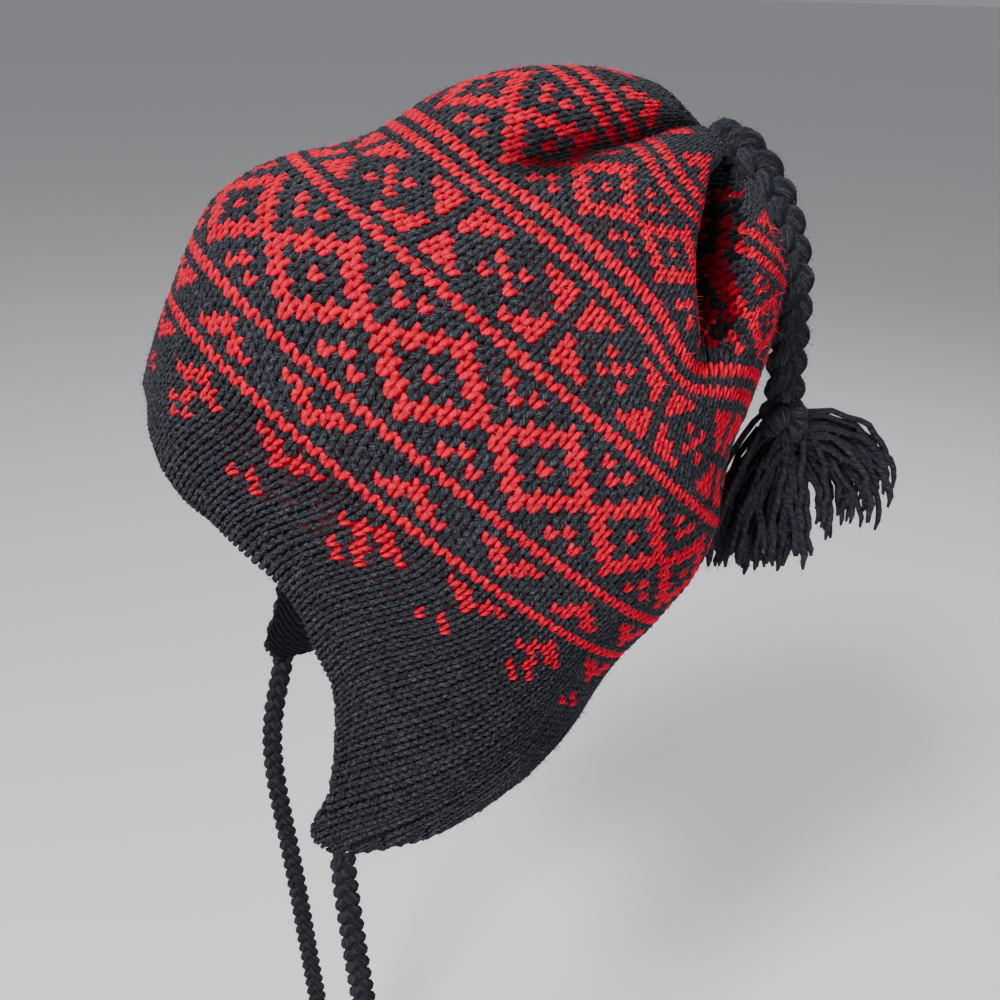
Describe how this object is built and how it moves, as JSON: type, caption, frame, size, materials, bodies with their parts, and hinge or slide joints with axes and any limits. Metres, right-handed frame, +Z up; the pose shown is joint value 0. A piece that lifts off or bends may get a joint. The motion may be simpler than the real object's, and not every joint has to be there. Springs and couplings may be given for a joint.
{
  "type": "knitted earflap hat",
  "caption": "Knitted earflap hat with a stranded star and chevron pattern, a gathered crown, a braided tail ending in a tassel, and a braided tie on each flap.",
  "frame": {"origin": "middle of the head hollow, in the plane of the widest patterned line, where the head sits", "axes": "+Z up as worn, -Y the way the wearer looks, +X the wearer's left"},
  "size_m": [0.166, 0.2916, 0.5355],
  "materials": {
    "patterned_knit": "red pattern knitted into charcoal wool, matt and slightly fuzzy",
    "dark_yarn": "charcoal wool yarn, matt and slightly fuzzy"
  },
  "bodies": {
    "root": {"knit_body": "patterned_knit", "top_braid": "dark_yarn", "crown_tassel": "dark_yarn", "left_tie": "dark_yarn", "right_tie": "dark_yarn", "left_tie_end": "dark_yarn", "right_tie_end": "dark_yarn"}
  },
  "joints": []
}
